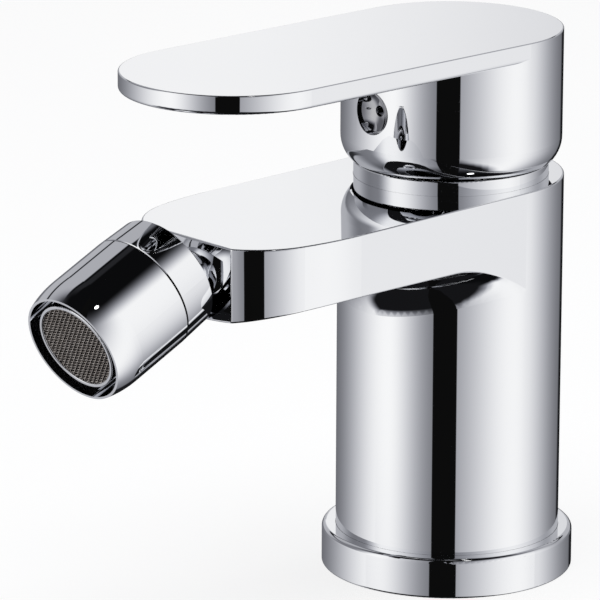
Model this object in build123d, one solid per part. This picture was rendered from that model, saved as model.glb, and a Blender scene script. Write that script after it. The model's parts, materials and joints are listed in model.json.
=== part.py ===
from build123d import *
from math import atan2, cos, degrees, radians, sin, sqrt, tan
import os

# Bidet mixer: an upright round body with a level slab spout, a ceramic cartridge under a
# flat handle, and a ball jointed outlet with an aerator.
# Millimetres. +Z is up, the spout points to -Y, and the origin is the centre of the seat
# on the deck, on the axis of the body.

# Fits and clearances
cut_over = 2.0              # how far a cut runs past the surface that it opens
running_fit = 0.05          # radial clearance of a turning or sliding fit
slip_fit = 0.1              # clearance of a part that is dropped into its place
thread_fit = 0.02           # radial clearance left in a plain stand-in for a thread
free_gap = 0.3              # clearance between parts that pass without touching

# Body and spout. The round parts inside, the collar, the handle and the base ring follow the body's radius
body_radius = 24.0
body_wall = 4.5             # round the hose pocket
body_top = 86.5             # height of the top face on the body's axis
top_slope = 0.84            # degrees that the top face falls towards the spout's end
side_depth = 13.8           # height of the spout's sides where they are straight
crown_radius = 100.0        # of the spout's underside, which bulges downwards across its width
spout_length = 74.7         # from the axis to the flat end of the spout
spout_draw = 26.3           # length over which the spout's sides draw in
side_radius = 62.8          # of the first, flatter bend of each side
side_turn = 13.0            # degrees that it turns
nose_radius = 19.3          # of the second, tighter bend
corner_round = 0.8          # of the upright corners of the flat end
nose_run = 30.7             # length over which the underside falls towards the end
nose_drop = 0.9             # how far it falls
spout_root_round = 10.0     # hollow rounding between the underside and the column
spout_back = 1.0            # in front of the axis: the spout and its root round start there
edge_round = 0.4

# Hose pocket, and the block in it with the inlets and the stud hole
pocket_radius = body_radius - body_wall
pocket_roof = 26.0          # shoulder that the block's flange is screwed up against
block_flange_width = 1.5
block_flange_height = 2.0
block_seal_section = 1.6
block_seal_place = 4.0      # from the top of the block to the middle of its seal
inlet_offset = 7.5          # sideways from the axis
inlet_front = 3.0           # in front of the axis
inlet_thread_radius = 4.5
inlet_thread_length = 12.0
inlet_bore_radius = 3.3
stud_hole_radius = 3.4
stud_hole_depth = 14.0
stud_hole_back = 10.0       # behind the axis

# Base ring and its seal
ring_width = 2.96
ring_radius = body_radius + ring_width
ring_height = 8.7
ring_edge_round = 1.0
ring_foot_round = 0.5
ring_floor = 2.5            # thickness of the ledge that the body stands on
ring_hole_room = 1.0        # from the hose pocket out to the hole in the ledge
ring_hole_radius = pocket_radius + ring_hole_room
seal_inset = 3.36           # from the ring's outside in to the middle of the groove under it
seal_groove_radius = ring_radius - seal_inset
seal_width = 2.2
seal_height = 1.5

# Cartridge chamber, from the top down
collar_seat_depth = 0.9
nut_thread_length = 4.3
chamber_radius = pocket_radius - block_flange_width
nut_seat_width = 1.0
nut_radius = chamber_radius + nut_seat_width
top_seal_height = 0.8
housing_height = 24.0       # from the shoulder down to the bottom of the housing
cartridge_base_height = 6.0
port_seal_proud = 0.5       # how far the port seals hold the base off the chamber floor

# Collar and cartridge nut
collar_overlap = 1.75       # past the nut's thread
collar_radius = nut_radius + collar_overlap
collar_height = 3.1         # above the top face
collar_lip = 0.65
nut_rise = 3.35             # above the collar's seat
nut_neck_step = 0.6         # from the thread in to the neck
nut_neck_radius = nut_radius - nut_neck_step
nut_key_depth = 2.2
nut_key_width = 4.0

# Cartridge
housing_land_height = 1.6
housing_room = 1.1          # from the cartridge out to the wall of its chamber
housing_radius = chamber_radius - housing_room
housing_shoulder = 3.0
housing_neck_radius = housing_radius - housing_shoulder
housing_neck_rise = 2.5     # above the shoulder
housing_neck_room = 0.4     # inside the nut
nut_bore_radius = housing_neck_radius + housing_neck_room
housing_wall = 1.7
cavity_radius = housing_radius - housing_wall
neck_wall = 1.0
carrier_neck_radius = housing_neck_radius - neck_wall
port_sweep = 36.0           # degrees between the centres of a port's round ends
port_circle_radius = sqrt(inlet_offset ** 2 + inlet_front ** 2)
# Degrees in front of the sideways axis: one end of each port lies over its inlet
port_angle = degrees(atan2(inlet_front, inlet_offset)) + port_sweep / 2
port_width = 4.4
outlet_back = 7.0           # behind the axis
outlet_radius = 3.4
port_seal_section = 1.2
locating_pin_radius = 1.7
locating_pin_length = 3.0
locating_pin_inset = 5.0    # from the wall of the chamber, sideways
locating_pin_offset = chamber_radius - locating_pin_inset
locating_pin_back = 6.0
fixed_disc_room = 0.6
fixed_disc_radius = cavity_radius - fixed_disc_room
fixed_disc_height = 3.5
moving_disc_inset = 1.6     # smaller than the fixed disc
moving_disc_radius = fixed_disc_radius - moving_disc_inset
moving_disc_height = 3.0
mixing_pocket_radius = 5.5
mixing_pocket_depth = 1.6
mixing_lobe_inset = 2.5     # of the pocket's rear lobe, over the outlet, from the disc's edge
mixing_lobe_radius = moving_disc_radius - mixing_lobe_inset
mixing_lobe_angle = 40.0    # degrees that the lobe opens to each side
lug_radius = 1.5
lug_height = 1.0
disc_carrier_room = 2.0     # free travel of the slider in the housing
disc_carrier_radius = cavity_radius - disc_carrier_room
disc_carrier_height = 5.0
disc_carrier_cut = 3.4      # taken off at each of its two side flats
disc_carrier_flat = disc_carrier_radius - disc_carrier_cut
lug_inset = 1.8             # from the flat in to the lug's centre
lug_offset = disc_carrier_flat - lug_inset
carrier_flange_radius = cavity_radius - free_gap
carrier_flange_height = 2.0
carrier_rib_thickness = 2.6
carrier_rib_width = 10.0
carrier_rib_drop = 3.1
carrier_slot_room = 1.5     # in front of the spindle and behind it, for its rocking
carrier_top_gap = 0.5       # below the top of the housing's neck

# Lever spindle and pin
pivot_drop = 4.5            # from the housing's shoulder down to the lever pin
spindle_share = 0.62        # width of the square against the radius of the lever carrier's neck
spindle_width = spindle_share * carrier_neck_radius
spindle_block_drop = 4.5    # from the pin down to the bottom of the square
spindle_tail_radius = 2.0
spindle_ball_radius = 2.5
lever_pin_radius = 2.0
lever_pin_inset = 1.4       # short of the lever carrier's neck at each end
lever_pin_length = 2 * (carrier_neck_radius - lever_pin_inset)
spindle_rise = 27.5         # from the pin up to the top of the square

# Handle
skirt_clear = 0.35          # from the collar out to the skirt's inside
skirt_wall = 2.4
handle_radius = collar_radius + skirt_clear + skirt_wall
handle_reach = 62.0         # from the body's axis to the centre of the rounded end
plate_thickness = 4.0
skirt_height = 24.3         # from the lip up to the underside of the plate
skirt_gap = 0.4             # between the collar and the lip
lip_inset = 2.0
lip_radius = handle_radius - lip_inset
lip_height = 5.0            # height over which the lip draws in
plate_top_round = 0.35
plate_under_round = 0.8
ceiling_thickness = 5.3     # solid left over the hollow of the skirt
boss_radius = 7.6
boss_clear = 2.0            # height of the boss above the lip
screw_rise = 13.0           # from the lip up to the axis of the screw and plug
screw_radius = 2.5
screw_length = 10.0
screw_key_width = 2.5
screw_key_depth = 3.0
plug_radius = 4.65
plug_length = 3.2
plug_recess = 1.3
plug_dish = 1.4
plug_rim = 0.5
plug_eye_radius = 1.2
plug_eye_depth = 2.6
screw_boss_wall = 1.4

# Ball stud of the outlet
ball_radius = 9.0
ball_stand_off = 8.78       # from the flat end of the spout to the centre of the ball
ball_drop = 9.06            # from the top face on the axis down to the centre of the ball
ball_bore_radius = 3.4
stud_radius = 4.8
stud_length = 8.0           # inside the spout
stud_mouth = 0.9            # chamfer round the stud's hole
stud_seal_depth = 0.9
stud_seal_width = 1.4
stud_seal_place = 4.0       # from the flat end to the middle of the seal
passage_width = 20.0
passage_height = 4.1

# Outlet casing, measured along its own axis from the centre of the ball
nozzle_tilt = 22.9          # degrees below level
nozzle_swivel = 8.6         # degrees that the tilt is turned about the stud's axis
casing_back = 3.8          # from the ball's centre back to the rear edge
casing_joint = 4.6          # from the ball's centre to the joint of the two casings
casing_front = 24.8         # from the ball's centre to the outlet's edge
casing_rear_radius = 12.6
casing_radius = 12.95
casing_rim_radius = 12.0
casing_nose = 6.5           # length over which the casing draws in to its rim
casing_edge_round = 0.35
joint_gap = 0.15
joint_chamfer = 0.15
spigot_radius = 11.35
spigot_length = 5.0
seat_length = 4.8
seat_hole_radius = 6.6
washer_height = 1.6
washer_hole_radius = 7.6
shell_bore_radius = 11.5
insert_flange_height = 1.4
ledge_thickness = 1.6
insert_radius = 9.4
insert_wall = 0.9
insert_length = 11.2        # from the flange's rear to the ring round the mesh
diffuser_height = 2.0
diffuser_place = 3.0        # from the flange's rear to the diffuser's rear
diffuser_hole_radius = 0.55
diffuser_hole_pitch = 1.9
mesh_ring_radius = 9.73
mesh_ring_wall = 0.8
mesh_ring_length = 1.6
mesh_depth = 0.35           # from the ring's front back to the mesh
mesh_thickness = 0.3
mesh_pitch = 1.05
mesh_gap = 0.75

# Places that follow from the sizes above
spout_straight = spout_length - spout_draw
nose_start = spout_length - nose_run
# The crown's rise from the middle line to the spout's sides, and the height of that line
crown = crown_radius - sqrt(crown_radius ** 2 - body_radius ** 2)
underside = body_top - side_depth - crown
collar_seat = body_top - collar_seat_depth
collar_top = body_top + collar_height
nut_bottom = collar_seat - nut_thread_length
shoulder = nut_bottom - top_seal_height
housing_bottom = shoulder - housing_height
base_bottom = housing_bottom - cartridge_base_height
chamber_floor = base_bottom - port_seal_proud
fixed_disc_top = housing_bottom + fixed_disc_height
moving_disc_top = fixed_disc_top + moving_disc_height
disc_carrier_top = moving_disc_top + disc_carrier_height
carrier_bottom = disc_carrier_top + slip_fit
flange_top = carrier_bottom + carrier_flange_height
neck_top = shoulder + housing_neck_rise
pivot = shoulder - pivot_drop
block_bottom = pocket_roof - block_flange_height
block_seal_middle = chamber_floor - block_seal_place
spindle_ball = moving_disc_top + slip_fit + spindle_ball_radius
lip = collar_top + skirt_gap
plate_bottom = lip + skirt_height
screw_axis = lip + screw_rise
stud_axis = body_top - ball_drop
ball_front = spout_length + ball_stand_off
casing_length = casing_front - casing_joint
nut_bore_end = casing_joint + spigot_length
washer_end = nut_bore_end + washer_height
flange_end = washer_end + insert_flange_height
mesh_ring_rear = washer_end + insert_length

ball_centre = Pos(0, -ball_front, stud_axis)
# Local +Z of the stud's frame points out of the spout
stud_frame = ball_centre * Rot(0, -nozzle_swivel, 0) * Rot(90, 0, 0)
# Local +Z of the outlet's frame points along the water
nozzle_frame = ball_centre * Rot(0, -nozzle_swivel, 0) * Rot(90 + nozzle_tilt, 0, 0)


def disc(radius, bottom, height):
    """Upright cylinder from a height up"""
    return Pos(0, 0, bottom) * Cylinder(radius, height, align=(Align.CENTER, Align.CENTER, Align.MIN))


def ring(outer, inner, bottom, height):
    """Upright tube"""
    return disc(outer, bottom, height) - disc(inner, bottom - cut_over, height + 2 * cut_over)


def barrel(radius, front, back, height, side=0):
    """Cylinder along Y, between two distances in front of the body's axis"""
    return Pos(side, -(front + back) / 2, height) * Rot(90, 0, 0) * Cylinder(radius, abs(front - back))


def turned(points):
    """Solid of revolution about Z from outline points (radius, height)"""
    return revolve(make_face(Plane.XZ * Polyline(*points, close=True)), Axis.Z)


def spout_plan():
    """Body and spout seen from above: a round back, straight sides, then two bends to the flat end"""
    turn = radians(side_turn)
    bend_x = body_radius - side_radius * (1 - cos(turn))
    bend_y = -spout_straight - side_radius * sin(turn)
    # Centre of the tighter bend, and where it meets the flat end
    centre_x, centre_y = bend_x - nose_radius * cos(turn), bend_y + nose_radius * sin(turn)
    half_end = centre_x + sqrt(nose_radius ** 2 - (spout_length + centre_y) ** 2)
    edges = [
        ThreePointArc((body_radius, 0), (0, body_radius), (-body_radius, 0)),
        Line((-half_end, -spout_length), (half_end, -spout_length)),
    ]
    for side in (-1, 1):
        corner, bend, end = (
            (side * body_radius, -spout_straight),
            (side * bend_x, bend_y),
            (side * half_end, -spout_length),
        )
        edges += [
            Line((side * body_radius, 0), corner),
            TangentArc(corner, bend, tangent=(0, -1)),
            TangentArc(bend, end, tangent=(-side * sin(turn), -cos(turn))),
        ]
    return make_face(edges)


def below_top():
    """All that lies below the top face, which slopes along Y"""
    fall = tan(radians(top_slope))
    back, front = 3 * body_radius, spout_length + cut_over
    side = make_face(Polyline(
        (-front, body_top - fall * front),
        (back, body_top + fall * back),
        (back, 0),
        (-front, 0),
        close=True,
    ))
    return extrude(Plane.YZ * side, 2 * body_radius, both=True)


def under_spout():
    """All that lies below the spout: its upper face is crowned downwards and falls at the nose"""
    half = back = 3 * body_radius
    deep = -body_top
    rise = crown_radius - sqrt(crown_radius ** 2 - half ** 2)
    section = make_face([
        ThreePointArc((-half, rise), (0, 0), (half, rise)),
        Line((half, rise), (half, deep)),
        Line((half, deep), (-half, deep)),
        Line((-half, deep), (-half, rise)),
    ])
    start = Plane(origin=(0, back, underside), x_dir=(1, 0, 0), z_dir=(0, -1, 0))
    bend = (0, -nose_start, underside)
    # The arc runs on to twice its length, where it has fallen four times as far
    end = (0, -nose_start - 2 * nose_run, underside - 4 * nose_drop)
    path = Wire([Line((0, back, underside), bend), TangentArc(bend, end, tangent=(0, -1, 0))])
    return sweep(start * section, path)


def upright_column(bottom, height):
    """Column with its seam at the back"""
    return Rot(0, 0, 90) * disc(body_radius, bottom, height)


def spout_and_root():
    """Wide slab over the whole plan with its sloping top, and a hollow rounding where the column meets it"""
    shape = below_top() - under_spout()
    shape += upright_column(underside - 2 * spout_root_round, 2 * spout_root_round + 2 * crown)
    # The root is the one curve round the column that is no circle
    near = shape.edges().filter_by(lambda edge: abs(edge.center().Y) < body_radius)
    return fillet(near.filter_by(GeomType.BSPLINE), spout_root_round)


def body_outside():
    """Outer form of the casting, with rounded edges"""
    plan = extrude(spout_plan(), 2 * body_top)
    front = Box(4 * body_radius, 2 * spout_length, 4 * body_top, align=(Align.CENTER, Align.MAX, Align.CENTER))
    spout = spout_and_root() & plan & (Pos(0, -spout_back, 0) * front)
    shape = (upright_column(ring_floor, 2 * body_top) & below_top()) + spout
    end_edges = shape.faces().sort_by(Axis.Y)[0].edges()
    shape = fillet(end_edges.filter_by(Axis.Z), corner_round)
    end_edges = shape.faces().sort_by(Axis.Y)[0].edges()
    shape = fillet(end_edges.sort_by(Axis.Z)[0], edge_round)
    top_face = shape.faces().sort_by(Axis.Z)[-1]
    return fillet(top_face.edges(), edge_round)


def inlet_places():
    return [(side * inlet_offset, -inlet_front) for side in (-1, 1)]


def pin_places():
    return [(side * locating_pin_offset, locating_pin_back) for side in (-1, 1)]


def mixer_body():
    """Casting, bored through from the hose pocket to the collar's seat, with the waterway in its spout"""
    shape = body_outside()
    over = cut_over + body_top
    shape -= disc(collar_radius + running_fit, collar_seat, over)
    shape -= disc(nut_radius, shoulder, over)
    shape -= disc(chamber_radius, 0, over)
    shape -= disc(pocket_radius, 0, pocket_roof)
    # Waterway from the chamber to the stud's hole, then the hole and its chamfered mouth
    stud_bottom = spout_length - stud_length
    run = stud_bottom + cut_over
    slot = Plane.XZ * SlotOverall(passage_width, passage_height)
    shape -= Pos(0, 0, stud_axis) * extrude(slot, run)
    shape -= barrel(stud_radius + running_fit, stud_bottom, spout_length + cut_over, stud_axis)
    mouth = stud_radius + running_fit
    cone = Cone(mouth, mouth + stud_mouth, stud_mouth)
    shape -= Pos(0, -spout_length + stud_mouth / 2, stud_axis) * Rot(90, 0, 0) * cone
    return shape


def inlet_block():
    """Block screwed up into the body: floor of the chamber, with two threaded inlets and the stud's hole"""
    shape = disc(chamber_radius - running_fit, block_bottom, chamber_floor - block_bottom)
    shape += disc(pocket_radius - slip_fit, block_bottom, block_flange_height)
    for x, y in inlet_places():
        shape -= Pos(x, y, 0) * disc(inlet_thread_radius, block_bottom - cut_over, inlet_thread_length + cut_over)
        shape -= Pos(x, y, 0) * disc(inlet_bore_radius, block_bottom, chamber_floor - block_bottom + cut_over)
    stud_hole = disc(stud_hole_radius, block_bottom - cut_over, stud_hole_depth + cut_over)
    shape -= Pos(0, stud_hole_back, 0) * stud_hole
    for x, y in pin_places():
        depth = locating_pin_length + slip_fit
        shape -= Pos(x, y, chamber_floor - depth) * disc(locating_pin_radius + slip_fit, 0, depth + cut_over)
    half = block_seal_section / 2
    groove = ring(chamber_radius + cut_over, chamber_radius - block_seal_section, block_seal_middle - half, 2 * half)
    return shape - groove


def block_seal():
    """Ring in the block's groove, against the wall of the chamber"""
    height = block_seal_section - 2 * running_fit
    return ring(chamber_radius, chamber_radius - block_seal_section, block_seal_middle - height / 2, height)


def base_ring():
    """Ring round the foot of the body, with the ledge that the body stands on"""
    blank = disc(ring_radius, 0, ring_height)
    blank = fillet(blank.edges().sort_by(Axis.Z)[-1], ring_edge_round)
    blank = fillet(blank.edges().sort_by(Axis.Z)[0], ring_foot_round)
    blank -= disc(body_radius + running_fit, ring_floor, ring_height)
    blank -= disc(ring_hole_radius, -cut_over, ring_height)
    half = seal_width / 2
    groove = ring(seal_groove_radius + half, seal_groove_radius - half, -cut_over, seal_height + cut_over)
    return blank - groove


def base_seal():
    half = seal_width / 2
    return ring(seal_groove_radius + half - running_fit, seal_groove_radius - half + running_fit, 0, seal_height)


def ports(bottom, height):
    """Cutters for the two curved inlet ports, through a height"""
    cutters = []
    for middle in (-port_angle, port_angle - 180):
        arc = CenterArc((0, 0), port_circle_radius, middle - port_sweep / 2, port_sweep)
        cutters.append(extrude(Pos(0, 0, bottom - cut_over) * SlotArc(arc, port_width), height + 2 * cut_over))
    return cutters


def cartridge_base():
    """Lower end of the cartridge: two inlets, the outlet with its side window, and two pins"""
    land = cartridge_base_height / 3
    shape = disc(chamber_radius - running_fit, base_bottom, land)
    shape += disc(housing_radius, base_bottom, cartridge_base_height)
    shape -= ports(base_bottom, cartridge_base_height)
    shape -= Pos(0, outlet_back, 0) * disc(outlet_radius, base_bottom + land, cartridge_base_height)
    window = Box(2 * outlet_radius, chamber_radius, land, align=(Align.CENTER, Align.MIN, Align.MIN))
    shape -= Pos(0, outlet_back, base_bottom + land) * window
    for x, y in inlet_places():
        shape -= Pos(x, y, 0) * ring(
            inlet_bore_radius + 2 * port_seal_section,
            inlet_bore_radius + port_seal_section - slip_fit,
            base_bottom - cut_over,
            cut_over + port_seal_section - port_seal_proud,
        )
        # The inlet's bore meets the end of the curved port
        bore = disc(inlet_bore_radius, base_bottom - cut_over, land + cut_over)
        shape -= Pos(x, y, 0) * bore
    for x, y in pin_places():
        shape += Pos(x, y, 0) * disc(locating_pin_radius, base_bottom - locating_pin_length, locating_pin_length)
    return shape


def port_seal(side):
    """Ring that seals one inlet between the cartridge and the chamber floor"""
    outer = inlet_bore_radius + 2 * port_seal_section - running_fit
    inner = inlet_bore_radius + port_seal_section - running_fit
    return Pos(side * inlet_offset, -inlet_front, 0) * ring(outer, inner, chamber_floor, port_seal_section)


def hot_port_seal():
    return port_seal(-1)


def cold_port_seal():
    return port_seal(1)


def fixed_disc():
    """Lower ceramic disc with its three ports"""
    shape = disc(fixed_disc_radius, housing_bottom, fixed_disc_height)
    shape -= ports(housing_bottom, fixed_disc_height)
    outlet = disc(outlet_radius, housing_bottom - cut_over, fixed_disc_height + 2 * cut_over)
    return shape - Pos(0, outlet_back, 0) * outlet


def moving_disc():
    """Upper ceramic disc, hollow underneath where the water mixes, with two blind holes for the slider"""
    shape = disc(moving_disc_radius, fixed_disc_top, moving_disc_height)
    depth = mixing_pocket_depth + cut_over
    far = 2 * mixing_lobe_radius
    x, y = far * sin(radians(mixing_lobe_angle)), far * cos(radians(mixing_lobe_angle))
    wedge = extrude(make_face(Polyline((0, 0), (x, y), (-x, y), close=True)), depth)
    lobe = disc(mixing_lobe_radius, fixed_disc_top - cut_over, depth) & (Pos(0, 0, fixed_disc_top - cut_over) * wedge)
    shape -= disc(mixing_pocket_radius, fixed_disc_top - cut_over, depth) + lobe
    for side in (-1, 1):
        hole = disc(lug_radius + running_fit, moving_disc_top - lug_height - slip_fit, lug_height + cut_over)
        shape -= Pos(side * lug_offset, 0, 0) * hole
    return shape


def disc_carrier():
    """Slider that the spindle's ball end moves, with two flats that the lever carrier turns"""
    shape = disc(disc_carrier_radius, moving_disc_top, disc_carrier_height)
    shape &= Pos(0, 0, moving_disc_top) * Box(
        2 * disc_carrier_flat,
        2 * disc_carrier_radius,
        2 * disc_carrier_height,
    )
    for side in (-1, 1):
        shape += Pos(side * lug_offset, 0, 0) * disc(lug_radius, moving_disc_top - lug_height, lug_height)
    socket = disc(spindle_ball_radius + running_fit, moving_disc_top - cut_over, disc_carrier_height + 2 * cut_over)
    return shape - socket


def cartridge_housing():
    """Upper casing of the cartridge: wall, shoulder under the nut, and neck round the lever carrier"""
    shape = disc(housing_radius, housing_bottom, housing_height)
    shape += disc(chamber_radius - running_fit, shoulder - housing_land_height, housing_land_height)
    shape += disc(housing_neck_radius, shoulder, housing_neck_rise)
    cavity_top = flange_top + slip_fit
    shape -= disc(cavity_radius, housing_bottom - cut_over, cavity_top - housing_bottom + cut_over)
    return shape - disc(carrier_neck_radius + running_fit, housing_bottom, housing_height + housing_neck_rise + cut_over)


def housing_seal():
    """Flat ring over the housing's shoulder, pressed down by the nut"""
    return ring(nut_radius - running_fit, housing_neck_radius + running_fit, shoulder, top_seal_height)


def cartridge_nut():
    """Threaded ring that holds the cartridge down, with four key slots"""
    height = nut_thread_length + nut_rise
    shape = ring(nut_radius - thread_fit, nut_bore_radius, nut_bottom, nut_thread_length)
    shape += ring(nut_neck_radius, nut_bore_radius, nut_bottom, height)
    slot = Box(2 * nut_radius, nut_key_width, 2 * nut_key_depth)
    for turn in (0, 90):
        shape -= Pos(0, 0, nut_bottom + height) * Rot(0, 0, turn) * slot
    return shape


def collar():
    """Bright ring on the top face, closed over the nut"""
    height = collar_top - collar_seat
    shape = disc(collar_radius, collar_seat, height)
    shape = fillet(shape.edges().sort_by(Axis.Z)[-1], edge_round)
    shape -= disc(nut_neck_radius + slip_fit, collar_seat - cut_over, height - collar_lip + cut_over)
    return shape - disc(nut_bore_radius, collar_seat, height + cut_over)


def lever_carrier():
    """Rotor in the housing: flange, neck with the lever's slot, and two ribs that turn the slider"""
    shape = disc(carrier_flange_radius, carrier_bottom, carrier_flange_height)
    shape += disc(carrier_neck_radius, flange_top, neck_top - carrier_top_gap - flange_top)
    rib = Box(carrier_rib_thickness, carrier_rib_width, carrier_rib_drop, align=(Align.MIN, Align.CENTER, Align.MAX))
    for turn in (0, 180):
        shape += Pos(0, 0, carrier_bottom) * Rot(0, 0, turn) * Pos(disc_carrier_flat + slip_fit, 0, 0) * rib
    slot = Box(
        spindle_width + 2 * slip_fit,
        spindle_width + 2 * carrier_slot_room,
        neck_top - carrier_bottom + 2 * cut_over,
        align=(Align.CENTER, Align.CENTER, Align.MIN),
    )
    shape -= Pos(0, 0, carrier_bottom - cut_over) * slot
    return shape - Pos(0, 0, pivot) * Rot(0, 90, 0) * Cylinder(lever_pin_radius, 2 * carrier_neck_radius + cut_over)


def lever_pin():
    return Pos(0, 0, pivot) * Rot(0, 90, 0) * Cylinder(lever_pin_radius, lever_pin_length)


def lever_spindle():
    """Square spindle that rocks on the pin, with a ball end in the slider"""
    block_bottom = pivot - spindle_block_drop
    square = Box(
        spindle_width,
        spindle_width,
        spindle_block_drop + spindle_rise,
        align=(Align.CENTER, Align.CENTER, Align.MIN),
    )
    shape = Pos(0, 0, block_bottom) * square
    shape += disc(spindle_tail_radius, spindle_ball, block_bottom - spindle_ball)
    shape += Pos(0, 0, spindle_ball) * Sphere(spindle_ball_radius)
    hole = Cylinder(lever_pin_radius + running_fit, spindle_width + 2 * cut_over)
    return shape - Pos(0, 0, pivot) * Rot(0, 90, 0) * hole


def handle_plate():
    """Long flat plate with round ends, its edges rounded"""
    plan = Rot(0, 0, 90) * SlotCenterToCenter(handle_reach, 2 * handle_radius)
    plate = extrude(Pos(0, -handle_reach / 2, plate_bottom) * plan, plate_thickness)
    plate = fillet(plate.faces().sort_by(Axis.Z)[0].edges(), plate_under_round)
    return fillet(plate.faces().sort_by(Axis.Z)[-1].edges(), plate_top_round)


def handle_skirt():
    """Round skirt below the plate, drawn in to its lip"""
    lip_top = lip + lip_height
    inset = handle_radius - lip_radius
    # Radius of the arc that meets the lip's edge and runs upright into the side
    arc_radius = (inset ** 2 + lip_height ** 2) / (2 * inset)
    edges = [
        Line((0, lip), (lip_radius, lip)),
        RadiusArc((lip_radius, lip), (handle_radius, lip_top), -arc_radius),
        Line((handle_radius, lip_top), (handle_radius, plate_bottom + plate_thickness / 2)),
        Line((handle_radius, plate_bottom + plate_thickness / 2), (0, plate_bottom + plate_thickness / 2)),
        Line((0, plate_bottom + plate_thickness / 2), (0, lip)),
    ]
    # Turned so that the seam of the round faces lies at the back
    return Rot(0, 0, 90) * revolve(Plane.XZ * make_face(edges), Axis.Z)


def handle():
    """Plate and skirt in one casting, hollow over the nut, with the bosses for spindle and screw"""
    shape = handle_plate() + handle_skirt()
    inner = handle_radius - skirt_wall
    ceiling = plate_bottom + plate_thickness - ceiling_thickness
    hollow = disc(inner, lip - cut_over, ceiling - lip + cut_over)
    boss = disc(boss_radius, lip + boss_clear, ceiling - lip - boss_clear)
    bore = plug_radius + running_fit
    screw_boss = barrel(bore + screw_boss_wall, 0, handle_radius - skirt_wall / 2, screw_axis)
    shape -= hollow - boss - screw_boss
    socket = Box(
        spindle_width + slip_fit,
        spindle_width + slip_fit,
        pivot + spindle_rise + slip_fit - lip,
        align=(Align.CENTER, Align.CENTER, Align.MIN),
    )
    shape -= Pos(0, 0, lip) * socket
    plug_front = handle_radius - plug_recess
    shape -= barrel(bore, plug_front - plug_length, handle_radius + cut_over, screw_axis)
    return shape - barrel(screw_radius + thread_fit, 0, plug_front, screw_axis)


def handle_screw():
    """Grub screw against the front of the spindle, with its key socket"""
    tip = spindle_width / 2
    shape = barrel(screw_radius, tip, tip + screw_length, screw_axis)
    key = RegularPolygon(screw_key_width / 2, 6, major_radius=False)
    socket = extrude(Plane.XZ * key, screw_key_depth + cut_over)
    return shape - Pos(0, -tip - screw_length + screw_key_depth, screw_axis) * socket


def index_plug():
    """Dished plug in the skirt's front, with a small eye in the middle"""
    front = handle_radius - plug_recess
    blank = disc(plug_radius, 0, plug_length)
    dish_radius = ((plug_radius - plug_rim) ** 2 + plug_dish ** 2) / (2 * plug_dish)
    blank -= Pos(0, 0, plug_length - plug_dish + dish_radius) * Sphere(dish_radius)
    blank -= disc(plug_eye_radius, plug_length - plug_eye_depth, plug_eye_depth + cut_over)
    return Pos(0, -(front - plug_length), screw_axis) * Rot(90, 0, 0) * blank


def ball_stud():
    """Ball with its shank, bored through for the water"""
    shank = ball_stand_off + stud_length
    shape = Sphere(ball_radius) + disc(stud_radius, -shank, shank)
    shape -= disc(ball_bore_radius, -shank - cut_over, shank + ball_radius + 2 * cut_over)
    place = -ball_stand_off - stud_seal_place - stud_seal_width / 2
    shape -= ring(stud_radius + cut_over, stud_radius - stud_seal_depth, place, stud_seal_width)
    return stud_frame * shape


def stud_seal():
    """Sealing ring in the groove of the shank"""
    place = -ball_stand_off - stud_seal_place - stud_seal_width / 2
    inner = stud_radius - stud_seal_depth
    return stud_frame * ring(stud_radius, inner, place + running_fit, stud_seal_width - 2 * running_fit)


def swivel_nut():
    """Rear casing: holds the ball from behind, and carries the thread for the front casing"""
    socket = ball_radius + running_fit
    opening = sqrt(socket ** 2 - casing_back ** 2)
    skin_end = casing_joint - joint_gap
    shape = turned([
        (opening, -casing_back),
        (casing_rear_radius - casing_edge_round, -casing_back),
        (casing_rear_radius, -casing_back + casing_edge_round),
        (casing_radius, skin_end - joint_chamfer),
        (casing_radius - joint_chamfer, skin_end),
        (spigot_radius, skin_end),
        (spigot_radius, nut_bore_end),
        (0, nut_bore_end),
        (0, -casing_back),
    ])
    shape -= disc(socket, 0, nut_bore_end + cut_over)
    return nozzle_frame * (shape - Sphere(socket))


def ball_seat():
    """Seat that presses on the front of the ball"""
    blank = ring(ball_radius - running_fit, seat_hole_radius, nut_bore_end - seat_length, seat_length)
    return nozzle_frame * (blank - Sphere(ball_radius + running_fit))


def aerator_washer():
    return nozzle_frame * ring(spigot_radius, washer_hole_radius, nut_bore_end, washer_height)


def aerator_shell():
    """Front casing: threaded at the rear, a ledge for the aerator, and a rounded nose with a thin rim"""
    nose_start_place = casing_front - casing_nose
    rear = casing_joint
    outline = [
        Line((0, rear), (casing_radius - joint_chamfer, rear)),
        Line((casing_radius - joint_chamfer, rear), (casing_radius, rear + joint_chamfer)),
        Line((casing_radius, rear + joint_chamfer), (casing_radius, nose_start_place)),
        TangentArc((casing_radius, nose_start_place), (casing_rim_radius, casing_front), tangent=(0, 1)),
        Line((casing_rim_radius, casing_front), (0, casing_front)),
        Line((0, casing_front), (0, rear)),
    ]
    shape = revolve(Plane.XZ * make_face(outline), Axis.Z)
    shape -= disc(spigot_radius + thread_fit, rear - cut_over, flange_end - rear + cut_over)
    shape -= disc(insert_radius + slip_fit, rear, casing_length)
    return nozzle_frame * (shape - disc(shell_bore_radius, flange_end + ledge_thickness, casing_length))


def aerator_insert():
    """Plastic cup of the aerator, held by its flange behind the shell's ledge"""
    shape = disc(spigot_radius - running_fit, washer_end, insert_flange_height)
    shape += disc(insert_radius, washer_end, insert_length)
    inner = insert_radius - insert_wall
    return nozzle_frame * (shape - disc(inner, washer_end - cut_over, insert_length + 2 * cut_over))


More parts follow.
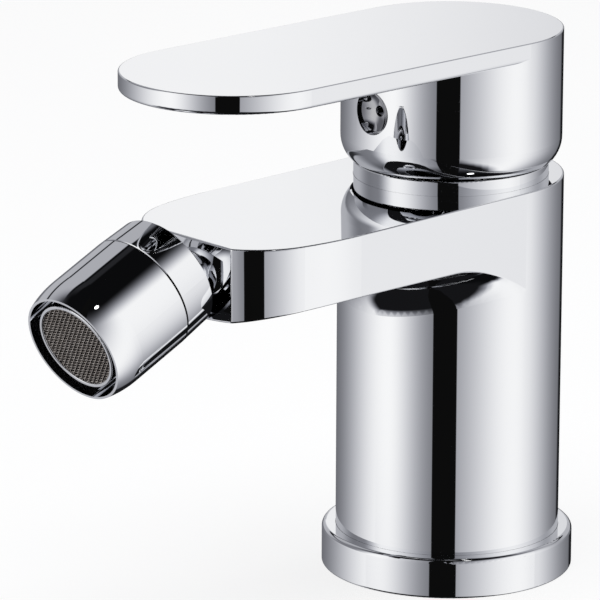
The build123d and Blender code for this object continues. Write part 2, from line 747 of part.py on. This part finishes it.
def aerator_diffuser():
    """Plate with rings of small holes across the insert"""
    rear = washer_end + diffuser_place
    shape = disc(insert_radius - insert_wall, rear, diffuser_height)
    hole = disc(diffuser_hole_radius, rear - cut_over, diffuser_height + 2 * cut_over)
    rings = int((insert_radius - insert_wall - 2 * diffuser_hole_radius) / diffuser_hole_pitch)
    holes = [hole]
    for count in range(1, rings + 1):
        holes += [loc * hole for loc in PolarLocations(count * diffuser_hole_pitch, 6 * count)]
    return nozzle_frame * (shape - holes)


def aerator_mesh():
    """Woven steel mesh at the outlet, as one flat sheet with square gaps"""
    radius = mesh_ring_radius - mesh_ring_wall
    reach = radius - mesh_gap / sqrt(2) - (mesh_pitch - mesh_gap) / 2
    count = int(radius / mesh_pitch)
    gaps = []
    for column in range(-count, count + 1):
        for row in range(-count, count + 1):
            x, y = column * mesh_pitch, row * mesh_pitch
            if sqrt(x ** 2 + y ** 2) < reach:
                gaps.append(Pos(x, y) * Rectangle(mesh_gap, mesh_gap))
    front = mesh_ring_rear + mesh_ring_length - mesh_depth
    sheet = extrude(Circle(radius) - gaps, mesh_thickness)
    return nozzle_frame * Pos(0, 0, front - mesh_thickness) * sheet


def mesh_ring():
    """Bright ring that clips the mesh to the front of the insert"""
    inner = mesh_ring_radius - mesh_ring_wall
    shape = ring(mesh_ring_radius, inner, mesh_ring_rear, mesh_ring_length)
    shape = fillet(shape.edges().group_by(Axis.Z)[-1], mesh_ring_wall / 4)
    return nozzle_frame * shape


pieces = [
    mixer_body, inlet_block, block_seal, base_ring, base_seal, cartridge_base, hot_port_seal,
    cold_port_seal, fixed_disc, moving_disc, disc_carrier, cartridge_housing, housing_seal,
    cartridge_nut, collar, lever_carrier, lever_pin, lever_spindle, handle, handle_screw, index_plug,
    ball_stud, stud_seal, swivel_nut, ball_seat, aerator_washer, aerator_shell, aerator_insert,
    aerator_diffuser, aerator_mesh, mesh_ring,
]

os.makedirs("parts", exist_ok=True)
for make in pieces:
    export_step(make(), f"parts/{make.__name__}.step")
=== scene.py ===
import json
import math

import bpy
import numpy as np
from mathutils import Matrix, Vector


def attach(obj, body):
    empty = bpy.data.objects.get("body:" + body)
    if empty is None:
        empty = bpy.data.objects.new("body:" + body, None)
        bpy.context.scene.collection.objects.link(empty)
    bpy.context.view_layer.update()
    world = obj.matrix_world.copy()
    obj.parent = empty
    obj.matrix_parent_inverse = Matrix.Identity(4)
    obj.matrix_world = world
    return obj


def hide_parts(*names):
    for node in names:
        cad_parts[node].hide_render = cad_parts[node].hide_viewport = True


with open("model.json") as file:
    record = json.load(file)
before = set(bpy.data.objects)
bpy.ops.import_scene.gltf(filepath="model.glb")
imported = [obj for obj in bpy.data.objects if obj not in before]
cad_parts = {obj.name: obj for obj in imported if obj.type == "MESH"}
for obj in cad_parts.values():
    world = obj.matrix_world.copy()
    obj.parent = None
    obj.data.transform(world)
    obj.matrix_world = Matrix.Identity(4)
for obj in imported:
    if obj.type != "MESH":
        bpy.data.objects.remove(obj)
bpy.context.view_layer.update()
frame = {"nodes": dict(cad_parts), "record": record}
nodes = frame["nodes"]
scene = bpy.context.scene
print("frame loaded:", len(nodes), "nodes")

mm = 0.001   # in metres


# Node helpers

def makeMaterial(name):
    # empty node material with its output and Principled shader
    material = bpy.data.materials.new(name)
    material.use_nodes = True
    tree = material.node_tree
    tree.nodes.clear()
    output = tree.nodes.new("ShaderNodeOutputMaterial")
    shader = tree.nodes.new("ShaderNodeBsdfPrincipled")
    output.location, shader.location = (400, 0), (100, 0)
    tree.links.new(shader.outputs["BSDF"], output.inputs["Surface"])
    return material, tree, shader


def addNode(tree, kind, inputs=None, **settings):
    # inputs are given by name or number: a plain value, or the output of another node
    node = tree.nodes.new(kind)
    for key, value in settings.items():
        setattr(node, key, value)
    for key, value in (inputs or {}).items():
        if isinstance(value, bpy.types.NodeSocket):
            tree.links.new(value, node.inputs[key])
        else:
            node.inputs[key].default_value = value
    return node


def addMath(tree, operation, a, b=0.0):
    return addNode(tree, "ShaderNodeMath", {0: a, 1: b}, operation=operation).outputs[0]


def mapRange(tree, value, low, high, toLow, toHigh, smooth=False):
    kind = "SMOOTHSTEP" if smooth else "LINEAR"
    inputs = {"Value": value, "From Min": low, "From Max": high, "To Min": toLow, "To Max": toHigh}
    return addNode(tree, "ShaderNodeMapRange", inputs, interpolation_type=kind).outputs["Result"]


def mixColors(tree, factor, a, b):
    # a Mix node takes its colours at the sockets 6 and 7, and puts their mix out at 2
    return addNode(tree, "ShaderNodeMix", {0: factor, 6: a, 7: b}, data_type="RGBA").outputs[2]


# Studio

studio = {
    "cameraAzimuth": 47.401,      # degrees, 0 looks along +Y
    "cameraElevation": 15.563,
    "cameraRoll": 0.255,
    "cameraDistance": 1.17169,    # metres
    "lens": 329.42,               # millimetres, like the sensor
    "aim": (0.0, 0.0, 0.060),
    "aimPixel": (449.37, 291.82),  # where the aim point falls in the frame
    "frame": 600.0,               # pixels across
    "sensor": 36.0,
    "clip": (0.05, 20.0),
}


def makeCamera(s):
    # back points from the part to the camera, which is moved sideways until the aim falls on its pixel
    a, e, r = (math.radians(s[k]) for k in ("cameraAzimuth", "cameraElevation", "cameraRoll"))
    back = Vector((math.sin(a) * math.cos(e), -math.cos(a) * math.cos(e), math.sin(e)))
    right = Vector((math.cos(a), math.sin(a), 0))
    up = back.cross(right)
    right, up = right * math.cos(r) + up * math.sin(r), up * math.cos(r) - right * math.sin(r)
    camera = bpy.data.objects.new("camera", bpy.data.cameras.new("camera"))
    scene.collection.objects.link(camera)
    camera.data.lens = s["lens"]
    camera.data.sensor_width = s["sensor"]
    pixelAngle = camera.data.sensor_width / camera.data.lens / s["frame"]
    half = s["frame"] / 2
    sideways = (s["aimPixel"][0] - half) * pixelAngle * s["cameraDistance"]
    upwards = (half - s["aimPixel"][1]) * pixelAngle * s["cameraDistance"]
    place = Vector(s["aim"]) + back * s["cameraDistance"] - right * sideways - up * upwards
    turn = Matrix((right, up, back)).transposed().to_4x4()
    camera.matrix_world = Matrix.Translation(place) @ turn
    camera.data.clip_start, camera.data.clip_end = s["clip"]
    scene.camera = camera


makeCamera(studio)
scene.view_settings.view_transform = "Standard"

# Places in the room are directions: a turn in degrees from the camera to its right, and a rise, the sine of
# the angle above the horizon. Levels are the light that comes from there.
room = {
    "base": 0.16,                  # level of the plain walls
    # two soft boxes: turn of the middle, level, and spread to the left and right of it
    "leftBox": (-66.0, 0.853, 53.0, 33.5),
    "rightBox": (69.0, 0.832, 50.0, 46.7),
    "rightNarrows": 26.0,          # how much its left side draws in per unit of rise
    "leftTop": (-0.12, 0.10, 0.15),        # rise over which the left box dims, and what is left of it
    "leftTopSide": (-98.0, -72.0),         # turn over which that dimming sets in
    "shade": (0.86, 0.88, 1.0, 1.0),       # tint of the dimmer walls
    "boxTop": (0.58, 0.92),        # rise over which the boxes fade into the dark ceiling
    "ceiling": 0.004,
    "flag": (-17.1, 7.4, 0.35),    # dark card behind the camera: turn of its left, right and soft edge
    "flagLevel": 0.004,
    "rearCard": (150.0, 158.0, 0.012),     # dark card at the back right: turn over which it starts, and level
    # back wall from the floor up: rise where each band ends, and its level
    "rearBands": [(0.41, 0.50), (0.48, 0.03), (0.84, 0.47), (0.88, 0.005), (0.94, 0.022)],
    "bandEdge": 0.008,             # half the rise over which one band turns into the next
    "rearSide": (35.0, 70.0),      # degrees from straight behind over which the back wall ends
    "rearFoot": (0.0, 0.1),        # rise over which it starts
    "strip": (181.3, 6.0, 0.95),   # bright strip at the back, seen in the level tops: middle, spread, level
    "stripTop": (0.36, 0.42),      # rise over which it ends
    "under": (-0.88, -0.80),       # rise below which nothing is lit
    # dark cloth low in front: rise of its top edge, level, turn past which the edge falls and by how much per
    # degree, to the left and to the right
    "cloth": {"top": (-0.52, -0.28), "level": 0.009, "left": (-80.0, 0.011), "right": (9.0, 0.008)},
    "spot": (31.5, 66.0, 2.4, 4.0),        # small lamp: turn, angle above the horizon, radius and level
    "spotEdge": (1.15, 0.85),      # where its edge starts and ends, in radii
}


def makeWorld(s):
    # a studio seen only in the metal: its level as a function of the turn and the rise of a direction
    world = bpy.data.worlds.new("studio")
    scene.world = world
    world.use_nodes = True
    tree = world.node_tree
    tree.nodes.clear()
    direction = addNode(tree, "ShaderNodeTexCoord").outputs["Generated"]
    a = math.radians(studio["cameraAzimuth"])
    toCamera = (math.sin(a), -math.cos(a), 0)
    toRight = (math.cos(a), math.sin(a), 0)

    def along(axis):
        node = addNode(tree, "ShaderNodeVectorMath", {0: direction, 1: axis}, operation="DOT_PRODUCT")
        return node.outputs["Value"]

    def bell(value, middle, spread):
        # bell curve: e to the power of minus the square of the distance from the middle, in spreads
        offset = addMath(tree, "DIVIDE", addMath(tree, "SUBTRACT", value, middle), spread)
        falling = addMath(tree, "MULTIPLY", addMath(tree, "POWER", offset, 2), -1)
        return addMath(tree, "POWER", math.e, falling)

    def mixLevels(factor, low, high):
        keep = addMath(tree, "MULTIPLY", addMath(tree, "SUBTRACT", 1, factor), low)
        return addMath(tree, "ADD", keep, addMath(tree, "MULTIPLY", factor, high))

    radians = addMath(tree, "ARCTAN2", along(toRight), along(toCamera))
    turn = addMath(tree, "MULTIPLY", radians, math.degrees(1))
    rise = along((0, 0, 1))

    def softBox(middle, level, left, right):
        # the two sides of a box fall off differently
        isRight = addMath(tree, "GREATER_THAN", turn, middle)
        return addMath(tree, "MULTIPLY", bell(turn, middle, mixLevels(isRight, left, right)), level)

    start, end, rest = s["leftTop"]
    dimmed = mapRange(tree, rise, start, end, 1, rest, smooth=True)
    dimmed = mixLevels(mapRange(tree, turn, *s["leftTopSide"], 1, 0, smooth=True), 1, dimmed)
    leftBox = addMath(tree, "MULTIPLY", softBox(*s["leftBox"]), dimmed)
    middle, level, left, right = s["rightBox"]
    left = addMath(tree, "SUBTRACT", left, addMath(tree, "MULTIPLY", rise, s["rightNarrows"]))
    rightBox = softBox(middle, level, left, right)
    level = addMath(tree, "ADD", addMath(tree, "MAXIMUM", leftBox, rightBox), s["base"])
    start, end, dark = s["rearCard"]
    level = mixLevels(mapRange(tree, turn, start, end, 0, 1, smooth=True), level, dark)
    boxTop = mapRange(tree, rise, *s["boxTop"], 0, 1, smooth=True)
    level = mixLevels(boxTop, level, s["ceiling"])

    # back wall above the floor, in level bands with a bright upright strip
    rear = s["ceiling"]
    edge = s["bandEdge"]
    for bandTop, bandLevel in reversed(s["rearBands"]):
        rear = mixLevels(mapRange(tree, rise, bandTop - edge, bandTop + edge, 1, 0), rear, bandLevel)
    fullTurn = addMath(tree, "FLOORED_MODULO", turn, 360)
    middle, spread, stripLevel = s["strip"]
    low = mapRange(tree, rise, *s["stripTop"], 1, 0)
    rear = mixLevels(addMath(tree, "MULTIPLY", bell(fullTurn, middle, spread), low), rear, stripLevel)
    fromBack = addMath(tree, "ABSOLUTE", addMath(tree, "SUBTRACT", fullTurn, 180))
    nearBack = mapRange(tree, fromBack, *s["rearSide"], 1, 0, smooth=True)
    above = mapRange(tree, rise, *s["rearFoot"], 0, 1, smooth=True)
    level = mixLevels(addMath(tree, "MULTIPLY", nearBack, above), level, rear)
    level = mixLevels(mapRange(tree, rise, *s["under"], 1, 0, smooth=True), level, s["ceiling"])

    # the cloth's top edge falls away to both sides
    cloth = s["cloth"]
    lifted = rise
    for side, sign in (("left", -1), ("right", 1)):
        bend, fall = cloth[side]
        away = addMath(tree, "MULTIPLY", addMath(tree, "SUBTRACT", turn, bend), sign)
        past = addMath(tree, "MAXIMUM", away, 0)
        lifted = addMath(tree, "ADD", lifted, addMath(tree, "MULTIPLY", past, fall))
    covered = mapRange(tree, lifted, *cloth["top"], 1, 0, smooth=True)
    level = mixLevels(covered, level, cloth["level"])

    tint = mixColors(tree, level, s["shade"], (1, 1, 1, 1))
    walls = addNode(tree, "ShaderNodeVectorMath", {0: tint, "Scale": level}, operation="SCALE")

    left, right, edge = s["flag"]
    flag = addMath(tree, "MULTIPLY", mapRange(tree, turn, left - edge, left + edge, 0, 1),
                   mapRange(tree, turn, right - edge, right + edge, 1, 0))
    seen = mixColors(tree, flag, walls.outputs["Vector"], (s["flagLevel"],) * 3 + (1,))

    spotTurn, spotRise, radius = (math.radians(angle) for angle in s["spot"][:3])
    level = s["spot"][3]
    outer, inner = (math.cos(radius * share) for share in s["spotEdge"])
    flat = math.cos(spotRise)
    place = [flat * (math.cos(spotTurn) * c + math.sin(spotTurn) * r) for c, r in zip(toCamera, toRight)]
    near = along((place[0], place[1], math.sin(spotRise)))
    inSpot = mapRange(tree, near, outer, inner, 0, 1)
    seen = mixColors(tree, inSpot, seen, (level, level, level, 1))

    lit = addNode(tree, "ShaderNodeBackground", {"Color": seen, "Strength": 1.0})
    plain = addNode(tree, "ShaderNodeBackground", {"Color": (1, 1, 1, 1), "Strength": 1.0})
    rays = addNode(tree, "ShaderNodeLightPath")
    choice = addNode(tree, "ShaderNodeMixShader", {
        "Fac": rays.outputs["Is Camera Ray"], 1: lit.outputs[0], 2: plain.outputs[0]})
    addNode(tree, "ShaderNodeOutputWorld", {"Surface": choice.outputs[0]})


makeWorld(room)

floorSizes = {
    "half": 1.6,                   # metres from the middle to each side
    "white": 0.80,                 # light that the paper gives off by itself
    "shadow": 0.24,                # share of the lamp's light that it returns, which sets the shadows' depth
}


def makeFloor(s):
    mesh = bpy.data.meshes.new("floor")
    h = s["half"]
    mesh.from_pydata([(-h, -h, 0), (h, -h, 0), (h, h, 0), (-h, h, 0)], [], [(0, 1, 2, 3)])
    floor = bpy.data.objects.new("floor", mesh)
    scene.collection.objects.link(floor)
    material, tree, shader = makeMaterial("paperFloor")
    shade = s["shadow"]
    shader.inputs["Base Color"].default_value = (shade, shade, shade, 1)
    shader.inputs["Roughness"].default_value = 1.0
    shader.inputs["Specular IOR Level"].default_value = 0.0
    shader.inputs["Emission Color"].default_value = (1, 1, 1, 1)
    shader.inputs["Emission Strength"].default_value = s["white"]
    mesh.materials.append(material)
    floor.visible_glossy = False   # the metal shows the studio walls down to its foot


makeFloor(floorSizes)

# places and sizes in metres, power in watts
lamps = {
    "above": {"place": (0.1, -0.2, 1.3), "aim": (0, 0, 0.05), "size": 1.2, "power": 11.0},
}


def makeLamp(name, s):
    data = bpy.data.lights.new(name, "AREA")
    data.shape = "DISK"
    data.size = s["size"]
    data.energy = s["power"]
    lamp = bpy.data.objects.new(name, data)
    scene.collection.objects.link(lamp)
    lamp.location = s["place"]
    lamp.rotation_euler = (Vector(s["aim"]) - Vector(s["place"])).to_track_quat("-Z", "Y").to_euler()
    lamp.visible_glossy = False


for lampName, lampSizes in lamps.items():
    makeLamp(lampName, lampSizes)
print("studio ready")


# Shared finishes

def newGroup(name, inputs, outputs):
    group = bpy.data.node_groups.new(name, "ShaderNodeTree")
    for label, kind, value in inputs:
        socket = group.interface.new_socket(name=label, in_out="INPUT", socket_type=kind)
        if value is not None:
            socket.default_value = value
    for label, kind in outputs:
        group.interface.new_socket(name=label, in_out="OUTPUT", socket_type=kind)
    return group, group.nodes.new("NodeGroupInput").outputs, group.nodes.new("NodeGroupOutput").inputs


marksLook = {
    "clouds": (0.42, 0.68),        # noise values over which the haze sets in
    "lines": (0.66, 0.74),         # the same for the hairlines
    "lineRoughness": 0.12,
    # three sets of hairlines: turn, and how far the noise is stretched along each axis
    "sets": ((0.35, (1.0, 0.035, 0.05)), (1.9, (0.04, 1.0, 0.05)), (2.6, (0.05, 0.04, 1.0))),
    "turnShares": (1.0, 0.7, 1.3),   # how much of a set's turn goes about each axis
}


def handlingGroup(s):
    # wiping haze and fine hairline marks of a handled surface, as roughness and height
    group, given, out = newGroup("handlingMarks", [
        ("Coordinates", "NodeSocketVector", None),
        ("Roughness", "NodeSocketFloat", 0.02),
        ("Haze", "NodeSocketFloat", 0.02),
        ("Haze Scale", "NodeSocketFloat", 60.0),
        ("Hairlines", "NodeSocketFloat", 0.1),
        ("Hairline Scale", "NodeSocketFloat", 900.0),
    ], [("Roughness", "NodeSocketFloat"), ("Height", "NodeSocketFloat")])
    haze = addNode(group, "ShaderNodeTexNoise", {
        "Vector": given["Coordinates"], "Scale": given["Haze Scale"], "Detail": 4.0, "Roughness": 0.6})
    clouds = mapRange(group, haze.outputs["Fac"], *s["clouds"], 0, 1, smooth=True)
    marks = []
    for turn, stretch in s["sets"]:
        rotation = tuple(turn * share for share in s["turnShares"])
        place = addNode(group, "ShaderNodeMapping", {
            "Vector": given["Coordinates"], "Rotation": rotation, "Scale": stretch})
        lines = addNode(group, "ShaderNodeTexNoise", {
            "Vector": place.outputs["Vector"], "Scale": given["Hairline Scale"], "Detail": 1.0})
        marks.append(mapRange(group, lines.outputs["Fac"], *s["lines"], 0, 1, smooth=True))
    lines = addMath(group, "MAXIMUM", addMath(group, "MAXIMUM", marks[0], marks[1]), marks[2])
    lines = addMath(group, "MULTIPLY", lines, given["Hairlines"])
    rough = addMath(group, "ADD", given["Roughness"], addMath(group, "MULTIPLY", clouds, given["Haze"]))
    rough = addMath(group, "ADD", rough, addMath(group, "MULTIPLY", lines, s["lineRoughness"]))
    group.links.new(rough, out["Roughness"])
    group.links.new(addMath(group, "MULTIPLY", lines, -1), out["Height"])
    return group


edgeLook = {
    "sharp": (0.52, 0.6),          # pointiness over which a corner counts as rubbed
    "broken": (0.4, 0.6),          # noise values over which the rubbing sets in
}


def edgeGroup(s):
    # brighter, rubbed corners where the surface bends outwards, broken up by noise
    group, given, out = newGroup("rubbedEdges", [
        ("Color", "NodeSocketColor", (0.5, 0.5, 0.5, 1)),
        ("Edge Color", "NodeSocketColor", (0.7, 0.7, 0.7, 1)),
        ("Coordinates", "NodeSocketVector", None),
        ("Amount", "NodeSocketFloat", 0.5),
        ("Scale", "NodeSocketFloat", 400.0),
    ], [("Color", "NodeSocketColor")])
    geometry = addNode(group, "ShaderNodeNewGeometry")
    sharp = mapRange(group, geometry.outputs["Pointiness"], *s["sharp"], 0, 1)
    noise = addNode(group, "ShaderNodeTexNoise", {
        "Vector": given["Coordinates"], "Scale": given["Scale"], "Detail": 3.0})
    broken = mapRange(group, noise.outputs["Fac"], *s["broken"], 0, 1, smooth=True)
    mask = addMath(group, "MULTIPLY", addMath(group, "MULTIPLY", sharp, broken), given["Amount"])
    group.links.new(mixColors(group, mask, given["Color"], given["Edge Color"]), out["Color"])
    return group


handlingMarks = handlingGroup(marksLook)
rubbedEdges = edgeGroup(edgeLook)


def useGroup(tree, group, inputs):
    return addNode(tree, "ShaderNodeGroup", inputs, node_tree=group)


def objectCoordinates(tree):
    return addNode(tree, "ShaderNodeTexCoord").outputs["Object"]


def addBump(tree, shader, height, strength, distance):
    bump = addNode(tree, "ShaderNodeBump", {"Height": height, "Strength": strength, "Distance": distance})
    tree.links.new(bump.outputs["Normal"], shader.inputs["Normal"])


chromeLook = {
    "color": (0.915, 0.92, 0.93, 1),
    "thin": (0.895, 0.902, 0.918, 1),    # plate colour where it is a shade cooler
    "patchScale": 35.0,
    "roughness": 0.012,
    "haze": 0.012,
    "hairlines": 0.35,
    "bump": 0.05,
    "distance": 0.00002,
}


def makeChrome(name, s):
    material, tree, shader = makeMaterial(name)
    where = objectCoordinates(tree)
    patches = addNode(tree, "ShaderNodeTexNoise", {"Vector": where, "Scale": s["patchScale"], "Detail": 2.0})
    color = mixColors(tree, patches.outputs["Fac"], s["color"], s["thin"])
    tree.links.new(color, shader.inputs["Base Color"])
    shader.inputs["Metallic"].default_value = 1.0
    marks = useGroup(tree, handlingMarks, {
        "Coordinates": where, "Roughness": s["roughness"], "Haze": s["haze"], "Hairlines": s["hairlines"]})
    tree.links.new(marks.outputs["Roughness"], shader.inputs["Roughness"])
    addBump(tree, shader, marks.outputs["Height"], s["bump"], s["distance"])
    return material


turnedLook = {"distortion": 0.4, "haze": 0.12, "hairlines": 0.6, "distance": 0.00003}


def makeMachined(name, s):
    # turned metal: fine rings about the column's axis, with rubbed corners
    material, tree, shader = makeMaterial(name)
    where = objectCoordinates(tree)
    rings = addNode(tree, "ShaderNodeTexWave", {
        "Vector": where, "Scale": s["ringScale"], "Distortion": turnedLook["distortion"], "Detail": 2.0},
        wave_type="RINGS", rings_direction="Z")
    tone = addNode(tree, "ShaderNodeTexNoise", {"Vector": where, "Scale": s["toneScale"], "Detail": 4.0})
    base = mixColors(tree, tone.outputs["Fac"], s["color"], s["dull"])
    edges = useGroup(tree, rubbedEdges, {"Color": base, "Edge Color": s["bright"], "Coordinates": where})
    tree.links.new(edges.outputs["Color"], shader.inputs["Base Color"])
    shader.inputs["Metallic"].default_value = 1.0
    marks = useGroup(tree, handlingMarks, {
        "Coordinates": where, "Roughness": s["roughness"], "Haze": turnedLook["haze"],
        "Hairlines": turnedLook["hairlines"]})
    tree.links.new(marks.outputs["Roughness"], shader.inputs["Roughness"])
    height = addMath(tree, "ADD", rings.outputs["Fac"], marks.outputs["Height"])
    addBump(tree, shader, height, s["bump"], turnedLook["distance"])
    return material


mouldedLook = {"hairlines": 0.3, "distance": 0.00004}


def makeMoulded(name, s):
    # satin moulded plastic or rubber: a fine grain and slightly uneven gloss
    material, tree, shader = makeMaterial(name)
    where = objectCoordinates(tree)
    tone = addNode(tree, "ShaderNodeTexNoise", {"Vector": where, "Scale": s["toneScale"], "Detail": 3.0})
    base = mixColors(tree, tone.outputs["Fac"], s["color"], s["second"])
    edges = useGroup(tree, rubbedEdges, {
        "Color": base, "Edge Color": s["edge"], "Coordinates": where, "Amount": s["edgeAmount"]})
    tree.links.new(edges.outputs["Color"], shader.inputs["Base Color"])
    shader.inputs["Specular IOR Level"].default_value = s["specular"]
    marks = useGroup(tree, handlingMarks, {
        "Coordinates": where, "Roughness": s["roughness"], "Haze": s["haze"],
        "Hairlines": mouldedLook["hairlines"]})
    tree.links.new(marks.outputs["Roughness"], shader.inputs["Roughness"])
    grain = addNode(tree, "ShaderNodeTexNoise", {"Vector": where, "Scale": s["grainScale"], "Detail": 3.0})
    addBump(tree, shader, grain.outputs["Fac"], s["bump"], mouldedLook["distance"])
    return material


finishes = {
    "brass": lambda: makeMachined("machinedBrass", {
        "color": (0.70, 0.50, 0.20, 1), "dull": (0.56, 0.40, 0.17, 1), "bright": (0.88, 0.70, 0.36, 1),
        "ringScale": 900.0, "toneScale": 90.0, "roughness": 0.24, "bump": 0.25}),
    "steel": lambda: makeMachined("turnedSteel", {
        "color": (0.55, 0.56, 0.58, 1), "dull": (0.46, 0.47, 0.49, 1), "bright": (0.74, 0.75, 0.77, 1),
        "ringScale": 1200.0, "toneScale": 120.0, "roughness": 0.22, "bump": 0.2}),
    "cartridge_plastic": lambda: makeMoulded("cartridgePlastic", {
        "color": (0.62, 0.63, 0.62, 1), "second": (0.56, 0.57, 0.56, 1), "edge": (0.75, 0.75, 0.74, 1),
        "edgeAmount": 0.3, "toneScale": 70.0, "grainScale": 2600.0, "roughness": 0.42, "haze": 0.12,
        "specular": 0.5, "bump": 0.25}),
    "ceramic": lambda: makeMoulded("lappedCeramic", {
        "color": (0.86, 0.86, 0.83, 1), "second": (0.80, 0.80, 0.77, 1), "edge": (0.9, 0.9, 0.88, 1),
        "edgeAmount": 0.2, "toneScale": 140.0, "grainScale": 4200.0, "roughness": 0.2, "haze": 0.06,
        "specular": 0.6, "bump": 0.08}),
    "seal_rubber": lambda: makeMoulded("sealRubber", {
        "color": (0.018, 0.018, 0.018, 1), "second": (0.030, 0.030, 0.029, 1), "edge": (0.06, 0.06, 0.06, 1),
        "edgeAmount": 0.4, "toneScale": 110.0, "grainScale": 1800.0, "roughness": 0.62, "haze": 0.14,
        "specular": 0.4, "bump": 0.35}),
    "aerator_plastic": lambda: makeMoulded("aeratorPlastic", {
        "color": (0.030, 0.030, 0.032, 1), "second": (0.022, 0.022, 0.024, 1), "edge": (0.09, 0.09, 0.09, 1),
        "edgeAmount": 0.3, "toneScale": 90.0, "grainScale": 2400.0, "roughness": 0.4, "haze": 0.1,
        "specular": 0.5, "bump": 0.2}),
    "mesh": lambda: makeMachined("meshWire", {
        "color": (0.64, 0.58, 0.53, 1), "dull": (0.42, 0.38, 0.35, 1), "bright": (0.94, 0.90, 0.85, 1),
        "ringScale": 1500.0, "toneScale": 300.0, "roughness": 0.18, "bump": 0.15}),
    "chrome": lambda: makeChrome("polishedChrome", chromeLook),
    "plug": lambda: makeChrome("darkChrome", dict(
        chromeLook, color=(0.50, 0.50, 0.51, 1), thin=(0.43, 0.43, 0.45, 1), roughness=0.05)),
}

slotOf = {part["node"]: part["material_slot"] for part in frame["record"]["subparts"]}
made = {slot: build() for slot, build in finishes.items()}
for nodeName, node in nodes.items():
    for materialSlot in node.material_slots:
        materialSlot.material = made[slotOf[nodeName]]
print("finishes:", ", ".join(sorted(made)))


# Outlet mesh

joints = {joint["name"]: joint for joint in frame["record"]["behaviour"]["joints"]}
outletFrame = {
    "ball": joints["outlet_tilt"]["pos_m"],   # the outlet tilts about the ball's centre
    "swivel": 8.6,                 # degrees from straight down, seen along the spout
    "tilt": 22.9,                  # degrees below the level
}


def outletMatrix(s):
    # local +Z along the water, from the ball's centre
    roll = Matrix.Rotation(math.radians(-s["swivel"]), 3, "Y")
    pitch = Matrix.Rotation(math.radians(90 + s["tilt"]), 3, "X")
    return np.array(roll @ pitch), np.array(s["ball"])


def makeMesh(name, points, quads):
    # an object at the origin from arrays of points in metres and of four corners for each face
    mesh = bpy.data.meshes.new(name)
    mesh.vertices.add(len(points))
    mesh.vertices.foreach_set("co", points.astype(np.float32).ravel())
    mesh.loops.add(quads.size)
    mesh.loops.foreach_set("vertex_index", quads.astype(np.int32).ravel())
    mesh.polygons.add(len(quads))
    mesh.polygons.foreach_set("loop_start", np.arange(0, quads.size, quads.shape[1], dtype=np.int32))
    mesh.polygons.foreach_set("use_smooth", np.ones(len(quads), bool))
    mesh.update(calc_edges=True)
    mesh.validate()
    piece = bpy.data.objects.new(name, mesh)
    scene.collection.objects.link(piece)
    return piece


def tubeQuads(count, steps, sides):
    # quads of many tubes, each a grid of steps rings by sides points, closed round the ring
    tube, step, side = np.meshgrid(np.arange(count), np.arange(steps - 1), np.arange(sides), indexing="ij")
    start = tube * steps * sides
    nextSide = (side + 1) % sides
    corners = (start + step * sides + side, start + step * sides + nextSide,
               start + (step + 1) * sides + nextSide, start + (step + 1) * sides + side)
    return np.stack(corners, -1).reshape(-1, 4)


weave = {
    "radius": 8.92,                # millimetres, up to the ring
    "pitch": 0.66,                 # from one wire to the next
    "wire": 0.115,                 # radius of a wire
    "wave": 0.105,                 # how far a wire rises and falls
    "place": 23.5,                 # from the ball's centre along the water
    "steps": 150,                  # points along a wire
    "sides": 6,                    # points round it
}


def makeWeave(s):
    # plain weave: each wire is a circle carried along a line across the outlet, from ring to ring. The height
    # of the line is the wave times the cosine of pi times the run over the pitch, so that it goes over one
    # crossing wire and under the next, with the sign turned over from wire to wire.
    count = int(s["radius"] / s["pitch"])
    index = np.arange(-count, count + 1)
    offset = index * s["pitch"]
    half = np.sqrt(s["radius"] ** 2 - offset ** 2)
    run = np.linspace(-1, 1, s["steps"])[None, :] * half[:, None]
    sign = np.where(index % 2 == 0, 1.0, -1.0)[:, None]
    slope = np.pi / s["pitch"]
    rise = s["wave"] * sign * np.cos(slope * run)
    lean = -s["wave"] * sign * slope * np.sin(slope * run)
    turn = 2 * np.pi * np.arange(s["sides"]) / s["sides"]
    # ring in the plane across the wire: sideways, and upright to the wire's own lean
    scale = 1 / np.sqrt(1 + lean ** 2)
    side = s["wire"] * np.cos(turn)
    lift = s["wire"] * np.sin(turn)
    alongRun = run[..., None] - (lean * scale)[..., None] * lift
    across = offset[:, None, None] + np.zeros_like(alongRun) + side
    height = rise[..., None] + scale[..., None] * lift
    warp = np.stack((alongRun, across, height), -1)
    weft = np.stack((across, -alongRun, -height), -1)
    points = np.concatenate((warp.reshape(-1, 3), weft.reshape(-1, 3)))
    points[:, 2] += s["place"]
    quads = tubeQuads(2 * len(index), s["steps"], s["sides"])
    turnMatrix, origin = outletMatrix(outletFrame)
    piece = makeMesh("outletWeave", points @ turnMatrix.T * mm + origin, quads)
    piece.data.materials.append(made["mesh"])
    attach(piece, "outlet")
    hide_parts("aerator_mesh")


makeWeave(weave)
print("outlet mesh woven")
